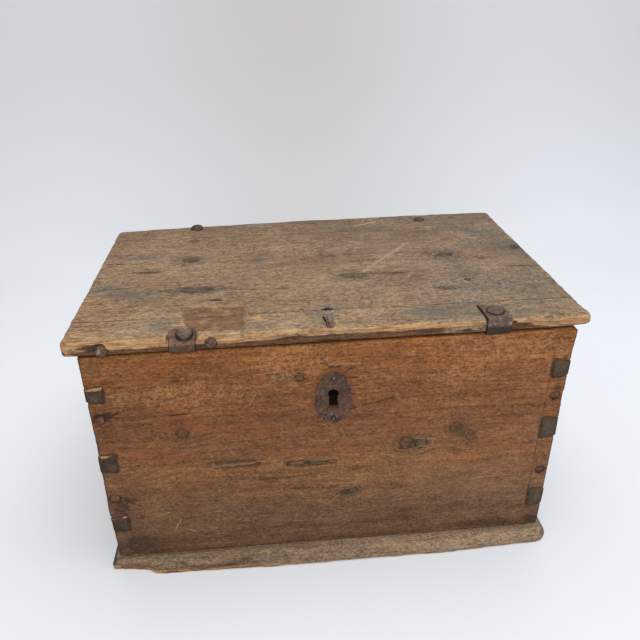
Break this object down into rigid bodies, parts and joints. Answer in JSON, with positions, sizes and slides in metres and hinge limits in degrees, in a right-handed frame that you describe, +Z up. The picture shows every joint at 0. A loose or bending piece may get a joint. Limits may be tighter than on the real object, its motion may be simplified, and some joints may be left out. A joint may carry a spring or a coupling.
{
  "type": "antique glove box",
  "caption": "Old pine box with dovetailed corners, a flat lid on iron strap hinges, an iron keyhole plate and a chest lock, for keeping gloves.",
  "frame": {"origin": "on the floor, under the middle of the case", "axes": "+X to the right seen from the front, +Y to the back, +Z up; the keyhole faces -Y"},
  "size_m": [0.43, 0.2858, 0.253],
  "materials": {
    "case_pine": "old waxed pine, scratched, warm brown",
    "side_pine": "old waxed pine with grey-brown end grain",
    "lid_pine": "worn, stained pine, greyed brown",
    "base_pine": "worn grey pine, raw at the edges",
    "peg_wood": "dark end grain",
    "rusty_iron": "hand-forged, dark brown rust",
    "lock_iron": "dark forged iron, light rust"
  },
  "bodies": {
    "case": {"front_board": "case_pine", "back_board": "case_pine", "left_side_board": "side_pine", "right_side_board": "side_pine", "bottom_board": "base_pine", "corner_pegs": "peg_wood", "bottom_nails": "rusty_iron", "escutcheon": "rusty_iron", "escutcheon_nails": "rusty_iron", "lock_plate": "lock_iron", "lock_cover": "lock_iron", "lock_ward": "lock_iron", "bolt_guides": "lock_iron", "bolt_spring": "lock_iron", "lock_nails": "lock_iron", "left_back_leaf": "rusty_iron", "right_back_leaf": "rusty_iron", "back_leaf_nails": "rusty_iron", "left_hinge_pin": "rusty_iron", "right_hinge_pin": "rusty_iron"},
    "lid": {"lid_front_board": "lid_pine", "lid_middle_board": "lid_pine", "lid_back_board": "lid_pine", "left_hinge_strap": "rusty_iron", "right_hinge_strap": "rusty_iron", "strap_front_rivets": "rusty_iron", "strap_middle_nails": "rusty_iron", "strap_rear_rivets": "rusty_iron", "lock_staple": "rusty_iron", "lid_edge_nails": "rusty_iron"},
    "bolt": {"lock_bolt": "lock_iron"}
  },
  "joints": [
    {"name": "lid_hinge", "type": "hinge", "parent": "case", "child": "lid", "pos_m": [0, 0.1333, 0.2324], "axis": [-1, 0, 0], "range_deg": [0, 135]},
    {"name": "bolt_slide", "type": "slide", "parent": "case", "child": "bolt", "axis": [1, 0, 0], "range_m": [0, 0.009]}
  ]
}
